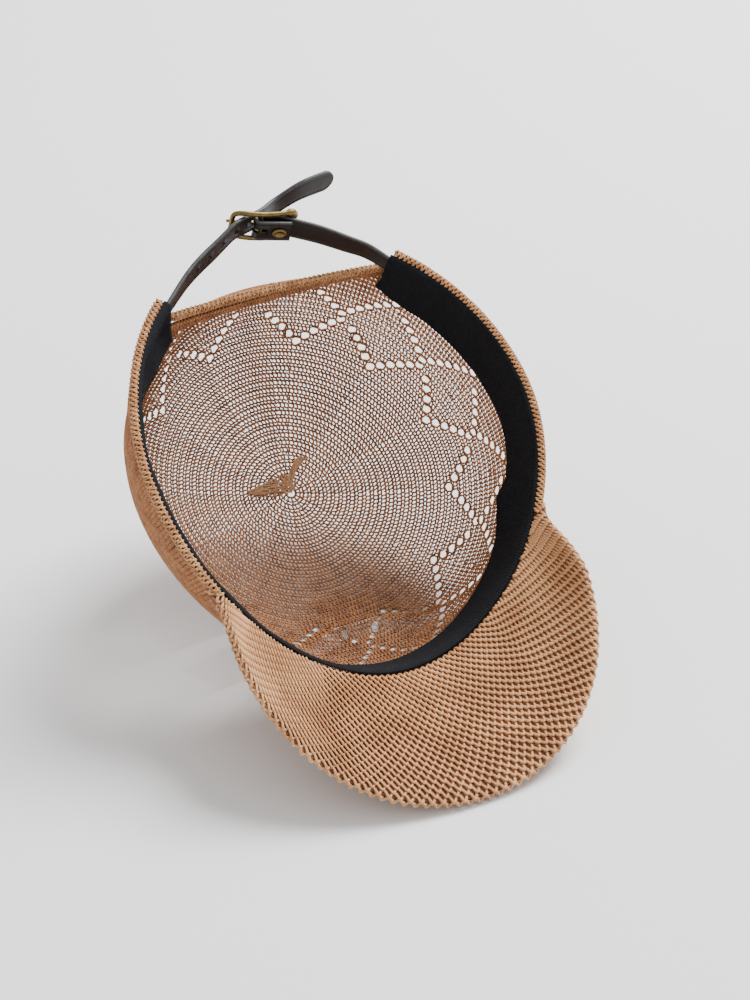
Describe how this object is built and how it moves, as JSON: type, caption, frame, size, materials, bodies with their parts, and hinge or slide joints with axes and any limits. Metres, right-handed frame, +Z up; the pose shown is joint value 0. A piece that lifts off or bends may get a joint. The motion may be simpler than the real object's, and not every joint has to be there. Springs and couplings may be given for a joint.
{
  "type": "knitted peaked cap",
  "caption": "Knitted peaked sun hat with openwork crown, sweatband and a buckled leather strap at the back, lying upside down.",
  "frame": {"origin": "on the floor, below the middle of the hat's outline", "axes": "+Z up; the hat lies crown down with its opening tipped towards -Y, the peak points to -Y and the strap is at +Y"},
  "size_m": [0.1784, 0.2484, 0.1717],
  "materials": {
    "paper_yarn": "open knit of brown paper yarn",
    "peak_yarn": "close knit of tan paper yarn",
    "black_ribbon": "black woven band",
    "dark_leather": "satin, blackish brown",
    "old_brass": "dark antique brass",
    "patch_yarn": "gathered brown yarn"
  },
  "bodies": {
    "root": {"crown": "paper_yarn", "peak": "peak_yarn", "sweatband": "black_ribbon", "strap_long": "dark_leather", "strap_short": "dark_leather", "buckle_frame": "old_brass", "buckle_prong": "old_brass", "tab_rivet": "old_brass", "closing_patch": "patch_yarn"}
  },
  "joints": []
}
